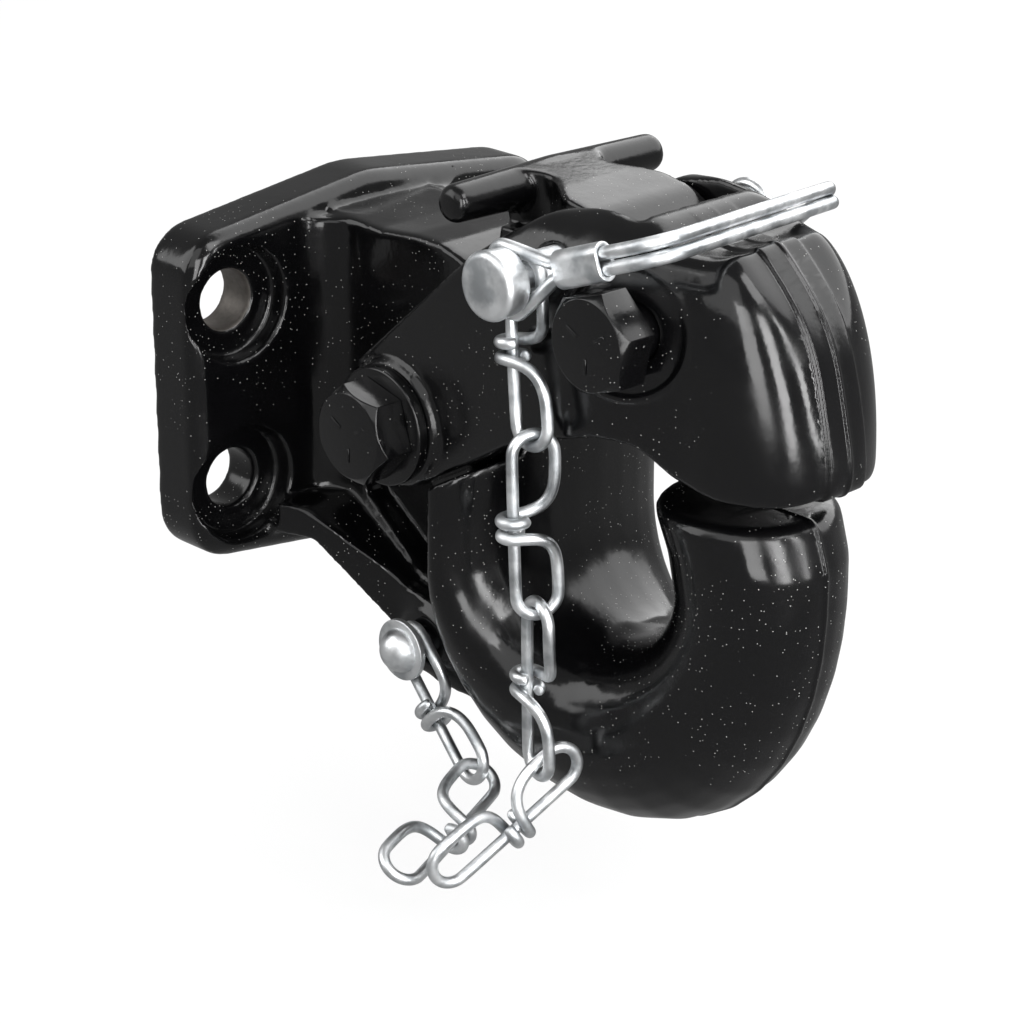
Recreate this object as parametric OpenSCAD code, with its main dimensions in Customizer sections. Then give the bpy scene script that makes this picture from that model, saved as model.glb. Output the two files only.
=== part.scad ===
// Pintle hook for a four bolt mount: forged hook and jaw, lock lever, safety pin and chain.
// Origin: centre of the bolt pattern on the back face. +X points forward, +Z up. Millimetres.

/* [Mounting plate] */
// Width of the plate across the vehicle
plate_w = 114; // [108:1:126]
// Height of the plate at its two sides
plate_side_h = 78; // [75:1:81]
// Height of the plate at its middle
plate_mid_h = 92; // [90:1:98]
// Thickness of the plate
plate_t = 16; // [14:0.5:20]
// Radius of the plate's four corners
plate_corner_r = 11; // [8:1:14]
// Width of the slope round the plate's front edge
plate_edge = 2.5; // [2:0.5:3.5]
// Sideways spacing of the mounting holes
bolt_spread = 85.73; // [80:0.01:88]
// Upright spacing of the mounting holes
bolt_rise = 44.45; // [40:0.01:46]
// Diameter of the mounting holes
bolt_hole_d = 14.3; // [11:0.1:15]
// Diameter of the flat seat round a mounting hole
seat_d = 27.5; // [26:0.5:28]
// Depth of that seat
seat_depth = 5; // [3:0.5:6]

/* [Hook] */
// Thickness of the upright web
web_t = 32; // [28:1:34]
// Thickness of the web inside its side pockets
pocket_web_t = 18; // [14:1:24]
// Distance of the eye's centre in front of the back face
eye_x = 104; // [103.5:0.5:104.5]
// Depth of the eye's centre below the bolt pattern's centre
eye_drop = 25; // [24.5:0.5:25.5]
// Radius of the eye at the middle of the hook
eye_r = 19.2; // [18.7:0.1:19.5]
// Width of the saddle at the back of the eye
saddle_w = 72; // [69:1:73]
// Width of the horn
horn_w = 39; // [37:0.5:41]
// Height of the horn's tip above the bolt pattern's centre
horn_top = -3; // [-5:0.5:-2]
// Depth of the hook's underside below the eye's centre
hook_depth = 64; // [62:0.5:65]

/* [Jaw] */
// Distance of the jaw's pivot in front of the back face
pivot_x = 57; // [56:0.5:58]
// Height of the jaw's pivot
pivot_z = 1.5; // [1:0.5:2]
// Thickness of one jaw arm
arm_t = 15.5; // [14:0.5:16]
// Sideways gap between the jaw and the web
arm_gap = 0.5; // [0.3:0.1:1]
// Radius of the round boss at the pivot
boss_r = 15; // [14:0.5:16]
// Height of that boss above the arm
boss_h = 2; // [1:0.5:3]
// Distance of the jaw's nose in front of the back face
nose_x = 167; // [165:0.5:168]
// Half width of the jaw's nose
nose_half_w = 24; // [22:0.5:25]

/* [Lock lever] */
// Distance of the lever's pivot in front of the back face
lever_x = 126; // [125:0.5:127]
// Height of the lever's pivot
lever_z = 38.5; // [38:0.5:39]
// Radius of the lever's eye
lever_eye_r = 11; // [10.5:0.5:11.5]
// Sideways gap between the lever and the jaw's arms
lever_gap = 0.8; // [0.5:0.1:1.5]
// Length of the cross handle
handle_l = 65; // [60:1:70]
// Diameter of the cross handle at its middle
handle_d = 10.4; // [9:0.2:12]
// Distance of the cross handle in front of the back face
handle_x = 76; // [75:0.5:77]
// Height of the cross handle
handle_z = 56.8; // [56:0.2:58]

/* [Bolts] */
// Diameter of the two pivot bolts
bolt_d = 14; // [12:0.5:14.5]
// Width across the flats of the bolt heads and nuts
bolt_af = 20.6; // [19:0.1:22]
// Height of a bolt head
head_h = 9; // [7:0.5:10]
// Height of a nut
nut_h = 11; // [9:0.5:13]
// Thickness of a washer
washer_t = 3; // [2:0.5:3.5]
// Diameter of a washer
washer_d = 28; // [25:0.5:29]
// Radial clearance of a bolt or pin in its hole
fit = 0.08; // [0.04:0.01:0.1]

/* [Safety pin] */
// Distance of the safety pin in front of the back face
pin_x = 104.5; // [103.5:0.5:105.5]
// Height of the safety pin
pin_z = 48.2; // [47.6:0.2:48.8]
// Diameter of the safety pin
pin_d = 9.5; // [8:0.5:10]
// Diameter of the pin's neck, which carries the bail and the chain
neck_d = 6; // [5:0.25:6.25]
// Diameter of the pin's head
pin_head_d = 15.6; // [14:0.2:17]
// Height of the pin's head
pin_head_h = 7; // [6:0.5:9]
// Length of the pin that stands out behind the far arm
pin_tip_l = 5.5; // [5.5:0.5:7]
// Diameter of the bail's wire
bail_d = 3; // [2.8:0.1:3.4]
// Reach of the bail in front of the pin
bail_reach = 46; // [45:0.5:48]

/* [Chain] */
// Diameter of the chain's wire
wire_d = 2.7; // [2.5:0.1:2.9]
// Length of a chain link over its wire
link_l = 44.5; // [44:0.5:46]
// Width of a chain link over its wire
link_w = 12.6; // [12.4:0.1:13.2]
// Gap between two pieces of the chain where they hang on each other
link_gap = 0.25; // [0.2:0.05:0.35]
// Diameter of the screw that holds the chain to the hook
screw_d = 6; // [5:0.25:6.25]
// Diameter of the screw's domed head
screw_head_d = 11; // [10:0.5:13]
// Diameter of the washer under that head
screw_washer_d = 15; // [14:0.5:17]

/* [Hidden] */
$fn = 48;
enamel = [0.03, 0.03, 0.035];
zinc = [0.72, 0.74, 0.77];

// Places across the hook, counted from its middle plane
web_half = web_t / 2;
slot_half = web_half + arm_gap;
arm_out = slot_half + arm_t;
boss_out = arm_out + boss_h;
lever_half = slot_half - lever_gap;

// Rounded outlines
round_steps = 6;
function unit(v) = v / norm(v);
// One corner of an outline: an arc of radius r that touches both of its sides
function corner(a, b, c, r) =
    let (
        u = unit(a - b),
        v = unit(c - b),
        half = acos(max(-1, min(1, u * v))) / 2,
        reach = r / tan(half),
        centre = b + unit(u + v) * r / sin(half),
        from = b + u * reach - centre,
        to = b + v * reach - centre
    )
    [for (i = [0 : round_steps])
        let (k = i / round_steps, sweep = 180 - 2 * half)
        centre + (sin((1 - k) * sweep) * from + sin(k * sweep) * to) / sin(sweep)];
// An outline from corners [x, y, r]; a corner with no radius stays sharp
function rounded(p) = [
    for (i = [0 : len(p) - 1])
        let (
            a = p[(i + len(p) - 1) % len(p)],
            b = p[i],
            c = p[(i + 1) % len(p)]
        )
        each (b[2] == 0
            ? [[b[0], b[1]]]
            : corner([a[0], a[1]], [b[0], b[1]], [c[0], c[1]], b[2]))
];

// Outline in the XZ plane, made half as thick on each side of the middle plane
module upright(outline, half) {
    rotate([90, 0, 0])
        linear_extrude(2 * half, center = true)
            polygon(outline);
}
// Outline in the XY plane, made between two heights
module flat(outline, low, high) {
    translate([0, 0, low])
        linear_extrude(high - low)
            polygon(outline);
}
// Cylinder along Y between two sideways places
module cross_rod(x, z, d, y0, y1) {
    translate([x, y1, z])
        rotate([90, 0, 0])
            cylinder(d = d, h = y1 - y0);
}
// Hexagonal prism along Y between two sideways places
module cross_hex(x, z, af, y0, y1, turn) {
    translate([x, y1, z])
        rotate([90, turn, 0])
            cylinder(d = af / cos(30), h = y1 - y0, $fn = 6);
}

// Round wire swept along points, with each ring turned as little as possible from the last
wire_sides = 8;
function tangents(p) = [
    for (i = [0 : len(p) - 1]) unit(p[min(i + 1, len(p) - 1)] - p[max(i - 1, 0)])
];
function square_to(n, t) = unit(n - (n * t) * t);
function ring_normals(t, first) = [
    for (
        i = 0, n = square_to(first, t[0]);
        i < len(t);
        n = square_to(n, t[min(i + 1, len(t) - 1)]), i = i + 1
    ) n
];
// Skin over rings of points, closed at both ends
module lofted(rings) {
    n = len(rings[0]);
    last = len(rings) - 1;
    walls = [
        for (i = [0 : last - 1])
            for (k = [0 : n - 1])
                let (
                    a = i * n + k,
                    b = i * n + (k + 1) % n
                )
                each [[a, a + n, b], [b, a + n, b + n]]
    ];
    start = [for (k = [0 : n - 1]) k];
    end = [for (k = [n - 1 : -1 : 0]) last * n + k];
    polyhedron([for (r = rings) each r], concat([start], walls, [end]));
}
module swept_wire(path, d, first) {
    t = tangents(path);
    n = ring_normals(t, first);
    lofted([
        for (i = [0 : len(path) - 1])
            [for (k = [0 : wire_sides - 1])
                let (a = 360 * k / wire_sides)
                path[i] + d / 2 * (cos(a) * n[i] + sin(a) * cross(t[i], n[i]))]
    ]);
}
// Path through points with rounded corners, for a bent wire
function bent(p, r) = [
    for (i = [0 : len(p) - 1])
        each (i == 0 || i == len(p) - 1 ? [p[i]] : corner(p[i - 1], p[i], p[i + 1], r[i]))
];

// Mounting plate
plate_side = plate_w / 2;
function plate_outline() = rounded([
    for (s = [[-1, -1], [1, -1], [1, 1], [-1, 1]])
        each (s[0] * s[1] > 0
            ? [[s[0] * plate_side, s[1] * plate_side_h / 2, plate_corner_r],
               [0, s[1] * plate_mid_h / 2, 3 * plate_corner_r]]
            : [[s[0] * plate_side, s[1] * plate_side_h / 2, plate_corner_r]])
]);
module plate_blank() {
    // The outline's first axis lies along Y, its second along Z, and it grows along X
    multmatrix([[0, 0, 1, 0], [1, 0, 0, 0], [0, 1, 0, 0], [0, 0, 0, 1]]) {
        linear_extrude(plate_t - plate_edge)
            polygon(plate_outline());
        translate([0, 0, plate_t - plate_edge])
            linear_extrude(
                plate_edge,
                slices = 1,
                scale = [1 - plate_edge / plate_side, 1 - 2 * plate_edge / plate_mid_h]
            )
                polygon(plate_outline());
    }
}
module mounting_holes() {
    for (y = [-1, 1], z = [-1, 1])
        translate([0, y * bolt_spread / 2, z * bolt_rise / 2])
            rotate([0, 90, 0]) {
                translate([0, 0, -1])
                    cylinder(d = bolt_hole_d, h = plate_t + 2);
                translate([0, 0, plate_t - seat_depth])
                    cylinder(d = seat_d, h = seat_depth + 1);
            }
}

// Hook: a rounded section that runs from the wide saddle round the eye into the horn
eye_z = -eye_drop;
ring_points = 28;
ring_step = 10;
saddle_top = 14;
saddle_depth = 12.5;
saddle_back = 6;
horn_depth = 18.5;
horn_out = 19;
horn_lean = 6.5;
tip_round = 2;
function eased(k) = k * k * (3 - 2 * k);
function blend(from, to, k) = from + (to - from) * k;
// Half width, depth from the eye to the widest place, and depth from there to the outside
function ring_half_w(t) = blend(saddle_w, horn_w, eased((t - 180) / 180)) / 2;
function ring_in(t) = blend(saddle_depth, horn_depth, (t - 180) / 180);
function ring_out(t) =
    t < 270
        ? blend(saddle_back, hook_depth - eye_r - ring_in(270), pow(max(sin(t - 180), 0), 1.2))
        : blend(horn_out, hook_depth - eye_r - ring_in(270), sin(t - 180) * sin(t - 180));
// One ring of the hook: where its radius starts, its angle, and its four measures
function hook_ring(x, z, t, start, deep, out, half) = [
    for (k = [0 : ring_points - 1])
        let (
            a = 360 * k / ring_points,
            reach = start + deep + (cos(a) < 0 ? deep : out) * cos(a)
        )
        [x + reach * cos(t), half * sin(a), z + reach * sin(t)]
];
horn_half = horn_w / 2 + 1;
hook_rings = concat(
    [hook_ring(eye_x, saddle_top, 180, eye_r, saddle_depth, saddle_back, saddle_w / 2)],
    [for (t = [180 : ring_step : 360])
        hook_ring(eye_x, eye_z, t, eye_r, ring_in(t), ring_out(t), ring_half_w(t))],
    [hook_ring(eye_x - horn_lean / 3, (eye_z + horn_top) / 2, 0,
        eye_r, horn_depth + 0.5, horn_out + 1.7, horn_w / 2 + 0.5)],
    [hook_ring(eye_x - horn_lean, horn_top - tip_round, 0, eye_r, horn_half, horn_half, horn_half)],
    [hook_ring(eye_x - horn_lean, horn_top, 0, eye_r + tip_round,
        horn_half - tip_round, horn_half - tip_round, horn_half - tip_round)]
);
// Upright web between the plate and the ring, with the sloped catch that the lever's toe meets
catch_low = [82, 22.7];
catch_top = [71, 33.7];
web_top = 40;
web_back = plate_t / 2;
web_foot = [66, -58];
strut_root_z = -36;
web_outline = rounded([
    [web_back, strut_root_z + 4, 0],
    [web_back, web_top, 0],
    [plate_t + 2, web_top, 3],
    [34, web_top - 1, 12],
    [46, web_top + 0.2, 6],
    [55, web_top, 6],
    [62, web_top - 2, 6],
    [catch_top[0], catch_top[1], 0],
    [catch_low[0], catch_low[1], 1],
    [eye_x - eye_r - 2, 10, 6],
    [eye_x - eye_r - 2, eye_z, 0],
    [eye_x - eye_r - 6, eye_z - 26, 0],
    [web_foot[0] + 6, web_foot[1], 0],
    [web_foot[0] - 14, web_foot[1] + 6, 0]
]);
// Triangular pocket in each side of the web, above the strut
pocket_outline = rounded([
    [plate_t + 10, -19, 4],
    [50, -19, 3],
    [56, -30, 8],
    [60, -46, 3],
    [48, -43, 4],
    [plate_t + 10, -27, 4]
]);
// Slanted strut under the web: a band in side view, widening towards the plate in plan
strut_t = 8;
strut_outline = [
    [web_back, strut_root_z],
    [web_back, strut_root_z + strut_t],
    [plate_t + 8, strut_root_z + strut_t - 1],
    [48, -45],
    [web_foot[0] + 6, web_foot[1] + 8],
    [web_foot[0] + 20, web_foot[1] - 10],
    [58, -67],
    [48, -60],
    [plate_t + 10, strut_root_z - 1]
];
strut_plan = rounded([
    [web_back, -36, 0],
    [plate_t + 2, -35.5, 6],
    [46, -21.5, 16],
    [110, -20, 0],
    [110, 20, 0],
    [46, 21.5, 16],
    [plate_t + 2, 35.5, 6],
    [web_back, 36, 0]
]);
// Fillets between the plate and the web's two sides, as one plan outline
root_fillet_r = 12;
root_plan = [
    [plate_t - 2, -web_half - root_fillet_r],
    for (i = [0 : 2 * round_steps])
        let (a = 90 * i / (2 * round_steps))
        [plate_t + root_fillet_r * (1 - cos(a)), -web_half - root_fillet_r * (1 - sin(a))],
    for (i = [2 * round_steps : -1 : 0])
        let (a = 90 * i / (2 * round_steps))
        [plate_t + root_fillet_r * (1 - cos(a)), web_half + root_fillet_r * (1 - sin(a))],
    [plate_t - 2, web_half + root_fillet_r]
];
// Boss for the chain's screw, on the near side of the strut
screw_x = 55;
screw_z = -57;
screw_boss_r = 8;
screw_boss_out = 22.5;
module hook_body() {
    color(enamel)
        difference() {
            union() {
                plate_blank();
                difference() {
                    upright(web_outline, web_half);
                    for (side = [-1, 1])
                        translate([0, side * (pocket_web_t / 2 + web_half), 0])
                            upright(pocket_outline, web_half);
                }
                flat(root_plan, strut_root_z, web_top - 1);
                lofted(hook_rings);
                intersection() {
                    upright(strut_outline, plate_side);
                    flat(strut_plan, web_foot[1] - 40, web_top);
                }
                cross_rod(screw_x, screw_z, 2 * screw_boss_r, -screw_boss_out, 0);
            }
            mounting_holes();
            cross_rod(pivot_x, pivot_z, bolt_d + 2 * fit, -plate_side, plate_side);
            // Room for the jaw's arms beside the web
            for (side = [-1, 1])
                translate([0, side * (web_half + plate_side / 2), 0])
                    upright(arm_room, plate_side / 2);
            cross_rod(screw_x, screw_z, screw_d, -screw_boss_out - 1, screw_thread_y);
        }
}
// The jaw's underside runs from the pivot over the eye to the nose
jaw_low = [[69, -9.5], [82.5, -1.5], [98.5, 8], [120, 14]];
arm_room_r = boss_r + 2;
arm_room_gap = [0, 1.8];
arm_room = concat(
    [[pivot_x - arm_room_r, 90]],
    [for (i = [0 : 2 * round_steps])
        let (a = 180 + 120 * i / (2 * round_steps))
        [pivot_x + arm_room_r * cos(a), pivot_z + arm_room_r * sin(a)]],
    [for (p = jaw_low) p - arm_room_gap],
    [[jaw_low[3][0], 90]]
);
screw_thread_y = 0;

// Jaw: a side view cut from a rounded shape, and a slot that makes it a fork
jaw_outline = rounded([
    [pivot_x - boss_r, pivot_z - boss_r, boss_r - 1],
    [pivot_x - boss_r, pivot_z + 10, 10],
    [82, 47, 30],
    [97, 58, 14],
    [112, 61, 30],
    [125, 60.4, 8],
    [131, 55.6, 2],
    [141, 55.6, 1],
    [143, 58.5, 1],
    [nose_x - 7, 42, 40],
    [nose_x, 12, 20],
    [nose_x - 1, 4, 3],
    [nose_x - 20, 4.2, 6],
    [nose_x - 30, 6.5, 8],
    [nose_x - 38, 13.6, 6],
    [jaw_low[3][0], jaw_low[3][1], 20],
    [jaw_low[2][0], jaw_low[2][1], 20],
    [jaw_low[1][0], jaw_low[1][1], 20],
    [jaw_low[0][0], jaw_low[0][1], 6],
    [pivot_x + 6, pivot_z - boss_r, 6]
]);
// One ring of the rounded shape: its place, half width, the height where it curves, and its top
jaw_steps = 18;
jaw_curve = 0.77;
jaw_foot = -40;
function jaw_ring(x, half, shoulder, top) = concat(
    [[x, half, jaw_foot]],
    [for (i = [0 : jaw_steps])
        let (
            a = 180 * i / jaw_steps,
            c = cos(a)
        )
        [
            x,
            half * sign(c) * pow(abs(c), jaw_curve),
            shoulder + (top - shoulder) * pow(max(sin(a), 0), jaw_curve)
        ]],
    [[x, -half, jaw_foot]]
);
nose_depth = 29;
nose_step = 10;
nose_low_top = 12;
nose_high_top = 61.5;
nose_shoulder = 1.12;
function nose_half(x) =
    nose_half_w * sqrt(1 - pow((x - nose_x + nose_depth) / (nose_depth + 0.4), 2));
// The nose falls away in front by the sine of the angle along it
function nose_ring(a) =
    let (back = nose_depth * (1 - cos(a)), x = nose_x - back)
    jaw_ring(
        x,
        nose_half(x),
        nose_shoulder * back,
        nose_low_top + (nose_high_top - nose_low_top) * pow(sin(a), 1.35)
    );
jaw_rings = concat(
    [for (x = [20, 60, 100, 112]) jaw_ring(x, arm_out, 34, 63)],
    [jaw_ring(122, arm_out - 2, 34, 62.5)],
    [jaw_ring(130, arm_out - 4.5, 32, 62)],
    [for (a = [90 : -nose_step : 0]) nose_ring(a)]
);
// Slot between the arms, closed above in front of the lever's body and below in front of the web
slot_front = lever_x + lever_eye_r + 1.5;
slot_floor_x = 112;
slot_floor_z = lever_z - lever_eye_r - 2.5;
slot_roof_z = lever_z + lever_eye_r + 2.2;
slot_outline = [
    [pivot_x - 40, -40],
    [pivot_x - 40, 100],
    [115, 100],
    [115, 66],
    [lever_x + 1, slot_roof_z],
    [slot_front, slot_roof_z - 1],
    [slot_front, lever_z - 8],
    [slot_front - 8, slot_floor_z],
    [slot_floor_x, slot_floor_z],
    [slot_floor_x - 6, -40]
];
// Flat seats in the arms for the lever's bolt
lock_seat_d = bolt_af / cos(30) + 5;
lock_seat_y = arm_out - 1.5;
lock_nut_h = 6;
lock_washer_t = 1.5;
lock_far_y = arm_out - 12.5;
module jaw_blank() {
    intersection() {
        upright(jaw_outline, plate_side);
        lofted(jaw_rings);
    }
    cross_rod(pivot_x, pivot_z, 2 * boss_r, -boss_out, boss_out);
}
module jaw() {
    color(enamel)
        difference() {
            jaw_blank();
            upright(slot_outline, slot_half);
            cross_rod(lever_x, lever_z, lock_seat_d, -plate_side, -lock_seat_y);
            cross_rod(lever_x, lever_z, lock_seat_d, lock_far_y, plate_side);
            cross_rod(pivot_x, pivot_z, bolt_d + 2 * fit, -plate_side, plate_side);
            cross_rod(lever_x, lever_z, bolt_d + 2 * fit, -plate_side, plate_side);
            cross_rod(pin_x, pin_z, pin_d + 2 * fit, -plate_side, plate_side);
        }
}

// Bolts, nuts and washers of the two pivots; the heads are on the near side
head_chamfer = 1.2;
module bolt(x, z, seat, end, turn) {
    difference() {
        union() {
            intersection() {
                cross_hex(x, z, bolt_af, -seat - head_h, -seat, turn);
                translate([x, -seat - head_h, z])
                    rotate([-90, 0, 0])
                        cylinder(d1 = bolt_af - 0.6, d2 = bolt_af + 2 * head_h, h = head_h + 0.01);
            }
            cross_rod(x, z, bolt_d, -seat - 0.01, end);
        }
        // Slope at the threaded end
        translate([x, end - head_chamfer, z])
            rotate([-90, 0, 0])
                difference() {
                    cylinder(d = bolt_d + 4, h = head_chamfer + 1);
                    cylinder(d1 = bolt_d, d2 = bolt_d - 2 * head_chamfer, h = head_chamfer);
                }
    }
}
module nut(x, z, seat, h, turn) {
    difference() {
        cross_hex(x, z, bolt_af, seat, seat + h, turn);
        cross_rod(x, z, bolt_d, seat - 1, seat + h + 1);
    }
}
module washer(x, z, d, hole, y0, y1) {
    difference() {
        cross_rod(x, z, d, y0, y1);
        cross_rod(x, z, hole, y0 - 1, y1 + 1);
    }
}
thread_end = 3;
pivot_seat = boss_out + washer_t;
lock_nut_seat = lock_far_y + lock_washer_t;
pivot_turn = 14;
lock_turn = 44;
module jaw_pivot_bolt() {
    color(enamel)
        bolt(pivot_x, pivot_z, pivot_seat, pivot_seat + nut_h + thread_end, pivot_turn);
}
module jaw_pivot_nut() {
    color(enamel)
        nut(pivot_x, pivot_z, pivot_seat, nut_h, pivot_turn);
}
module jaw_pivot_washers() {
    color(enamel)
        for (side = [-1, 1])
            translate([0, side * (boss_out + washer_t / 2), 0])
                washer(pivot_x, pivot_z, washer_d, bolt_d + 2 * fit, -washer_t / 2, washer_t / 2);
}
module lock_pivot_bolt() {
    color(enamel)
        bolt(lever_x, lever_z, lock_seat_y, lock_nut_seat + lock_nut_h + 1.5, lock_turn);
}
module lock_pivot_nut() {
    color(enamel)
        nut(lever_x, lever_z, lock_nut_seat, lock_nut_h, lock_turn);
}
module lock_pivot_washer() {
    color(enamel)
        washer(lever_x, lever_z, lock_seat_d - 1, bolt_d + 2 * fit, lock_far_y, lock_nut_seat);
}

// Lock lever: eye, body with a toe on the catch, neck and cross handle
catch_gap = 0.5;
catch_dir = unit(catch_low - catch_top);
catch_out = [-catch_dir[1], catch_dir[0]] * catch_gap;
toe_back = catch_top + catch_dir * 0.5 + catch_out;
toe_front = catch_low - catch_dir * 0.5 + catch_out;
lever_outline = rounded([
    [lever_x + lever_eye_r, lever_z - lever_eye_r, lever_eye_r - 0.5],
    [lever_x + lever_eye_r, lever_z + lever_eye_r, lever_eye_r - 0.5],
    [lever_x - 8, lever_z + lever_eye_r + 0.5, 8],
    [pin_x, pin_z + 9.5, 14],
    [handle_x + 15, handle_z + handle_d / 2 - 2, 14],
    [handle_x, handle_z + handle_d / 2 - 0.2, 0],
    [handle_x - 3, handle_z - 4, 0],
    [toe_back[0] + 3, handle_z - 9, 3],
    [toe_back[0], toe_back[1], 0],
    [toe_front[0], toe_front[1], 1.5],
    [lever_x - 30, lever_z - 12, 8],
    [lever_x - 12, lever_z - lever_eye_r, 6]
]);
lever_plan = rounded([
    [handle_x - 3, -12.5, 0],
    [handle_x + 2, -12.5, 0],
    [handle_x + 8, -8.2, 5],
    [handle_x + 19, -lever_half, 8],
    [slot_front, -lever_half, 0],
    [slot_front, lever_half, 0],
    [handle_x + 19, lever_half, 8],
    [handle_x + 8, 8.2, 5],
    [handle_x + 2, 12.5, 0],
    [handle_x - 3, 12.5, 0]
]);
// The toe below the handle is as wide as the lever
toe_plan_low = handle_z - handle_d / 2 - 3;
handle_tip_d = handle_d - 1.6;
handle_round = 2.5;
handle_profile = rounded([
    [0, -handle_l / 2, 0],
    [handle_tip_d / 2, -handle_l / 2, handle_round],
    [handle_d / 2, 0, 0],
    [handle_tip_d / 2, handle_l / 2, handle_round],
    [0, handle_l / 2, 0]
]);
// Slot that leaves the pin room while the lever lifts
lever_lift = 20;
pin_slot_r = pin_d / 2 + 0.65;
pin_rel = [pin_x - lever_x, pin_z - lever_z];
pin_slot_low = [
    lever_x + pin_rel[0] * cos(lever_lift) - pin_rel[1] * sin(lever_lift),
    lever_z + pin_rel[0] * sin(lever_lift) + pin_rel[1] * cos(lever_lift)
];
// Gap in the eye for the coil of the return spring
spring_gap_half = 5.5;
spring_room_r = 10.4;
module pin_slot() {
    along = pin_slot_low - [pin_x, pin_z];
    translate([pin_x, plate_side, pin_z])
        rotate([90, -atan2(along[1], along[0]), 0])
            linear_extrude(2 * plate_side) {
                circle(r = pin_slot_r);
                translate([norm(along), 0])
                    circle(r = pin_slot_r);
                translate([0, -pin_slot_r])
                    square([norm(along), 2 * pin_slot_r]);
            }
}
module lock_lever() {
    color(enamel)
        difference() {
            union() {
                intersection() {
                    upright(lever_outline, plate_side);
                    union() {
                        flat(lever_plan, toe_plan_low, 100);
                        translate([0, -lever_half, 0])
                            cube([slot_front, 2 * lever_half, toe_plan_low]);
                    }
                }
                translate([handle_x, 0, handle_z])
                    rotate([90, 0, 0])
                        rotate_extrude()
                            polygon(handle_profile);
            }
            pin_slot();
            cross_rod(lever_x, lever_z, bolt_d + 2 * fit, -plate_side, plate_side);
            translate([lever_x - spring_room_r, -spring_gap_half, lever_z - lever_eye_r - 1])
                cube([2 * lever_eye_r + 4, 2 * spring_gap_half, 2 * lever_eye_r + 2]);
        }
}
// Return spring: a coil round the lever's bolt with a short leg on each side
spring_d = 1.6;
spring_r = bolt_d / 2 + spring_d / 2 + 0.3;
spring_turns = 4.5;
spring_pitch = (2 * spring_gap_half - 2 * spring_d) / (spring_turns + 0.6);
spring_steps = 14;
spring_path = [
    for (i = [0 : spring_turns * spring_steps])
        let (a = 360 * i / spring_steps)
        [
            lever_x + spring_r * cos(a + 90),
            spring_pitch * (i / spring_steps - spring_turns / 2),
            lever_z + spring_r * sin(a + 90)
        ]
];
module lock_spring() {
    color(zinc)
        swept_wire(spring_path, spring_d, [0, 1, 0]);
}

// Safety pin: head, neck for the bail and the chain, shank and sloped tip
neck_start = arm_out + boss_h;
bail_gap = 0.35;
link_y = -(neck_start + 0.9 + wire_d / 2);
bail_y = link_y - wire_d / 2 - bail_gap - bail_d / 2;
pin_head_y = bail_y - bail_d / 2 - bail_gap;
pin_tip_y = arm_out + pin_tip_l;
pin_profile = [
    [0, pin_head_y - pin_head_h],
    [pin_head_d / 2 - 1, pin_head_y - pin_head_h],
    [pin_head_d / 2, pin_head_y - pin_head_h + 1],
    [pin_head_d / 2 - 0.6, pin_head_y],
    [neck_d / 2, pin_head_y],
    [neck_d / 2, -neck_start],
    [pin_d / 2, -neck_start],
    [pin_d / 2, pin_tip_y - 2],
    [pin_d / 2 - 1.5, pin_tip_y],
    [0, pin_tip_y]
];
module safety_pin() {
    color(zinc)
        translate([pin_x, 0, pin_z])
            rotate([-90, 0, 0])
                rotate_extrude()
                    polygon(pin_profile);
}

// Bail: one wire, doubled, from a loop round the pin's neck over the jaw to the pin's tip.
// Its places count along the leg from the pin, across the jaw, and square to the leg.
bail_tilt = 20.3;
bail_pair = bail_d / 2 + 0.15;
bail_far_y = arm_out + 1.9;
bail_far_reach = bail_reach - 19;
bail_hook_r = pin_d / 2 + bail_d / 2 + 0.4;
bail_loop_r = neck_d / 2 + bail_d / 2 + 0.35;
ferrule_start = 13;
ferrule_l = 14;
function bail_place(s, y, t) = [
    pin_x + s * cos(bail_tilt) - t * sin(bail_tilt),
    y,
    pin_z + s * sin(bail_tilt) + t * cos(bail_tilt)
];
hook_wrap = [
    for (a = [-60 : 30 : 150])
        bail_place(bail_hook_r * cos(a), bail_far_y, bail_hook_r * sin(a))
];
bail_points = [
    bail_place(bail_far_reach - 6, bail_far_y, -bail_pair - 0.5),
    bail_place(bail_far_reach, bail_far_y, -bail_pair),
    bail_place(bail_reach, bail_y, -bail_pair),
    bail_place(ferrule_start, bail_y, -bail_pair),
    bail_place(-bail_loop_r, bail_y, -9.5),
    bail_place(-bail_loop_r, bail_y, 9.5),
    bail_place(ferrule_start, bail_y, bail_pair),
    bail_place(bail_reach, bail_y, bail_pair),
    bail_place(bail_far_reach, bail_far_y, bail_pair),
    bail_place(bail_hook_r * cos(60) + 5, bail_far_y, -bail_hook_r * sin(60) - 1)
];
bail_bends = [0, 4, 7, 6, 3.5, 3.5, 6, 7, 4, 0];
bail_path = concat(bent(bail_points, bail_bends), hook_wrap);
module pin_bail() {
    color(zinc)
        swept_wire(bail_path, bail_d, [0, 0, 1]);
}
ferrule_wall = 1;
module bail_ferrule() {
    // Flattened sleeve that holds the two wires together
    w = bail_d + 0.2;
    h = 2 * bail_pair + bail_d + 0.2;
    color(zinc)
        translate([pin_x, bail_y, pin_z])
            rotate([0, -bail_tilt, 0])
                translate([ferrule_start + 2, 0, 0])
                    rotate([90, 0, 90])
                        linear_extrude(ferrule_l)
                            difference() {
                                ferrule_ring(w + 2 * ferrule_wall, h + 2 * ferrule_wall);
                                ferrule_ring(w, h);
                            }
}
module ferrule_ring(w, h) {
    for (s = [-1, 1])
        translate([0, s * (h - w) / 2])
            circle(d = w);
    square([w, h - w], center = true);
}

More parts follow.
